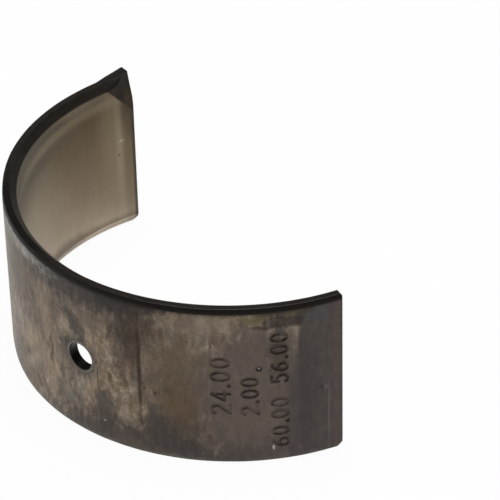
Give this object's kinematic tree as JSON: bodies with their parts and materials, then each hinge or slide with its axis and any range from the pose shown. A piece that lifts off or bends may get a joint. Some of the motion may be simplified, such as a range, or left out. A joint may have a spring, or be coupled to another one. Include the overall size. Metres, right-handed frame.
{
  "type": "engine bearing shell",
  "caption": "Half-round plain bearing shell with a bonded lining, a radial oil hole and a bent-out locating tang; it lines one half of a split crankshaft journal housing.",
  "frame": {"origin": "on the bearing axis, half way between the two side edges", "axes": "+Z along the bearing axis, towards the side edge that carries the tang; +Y from the crown of the back to the parting plane; the tang is on the -X end"},
  "size_m": [0.0624, 0.0298, 0.024],
  "materials": {
    "lined_steel": "stained grey-brown steel back with dark side edges, satin taupe lining in the bore"
  },
  "bodies": {
    "root": {"bearing_shell": "lined_steel"}
  },
  "joints": []
}
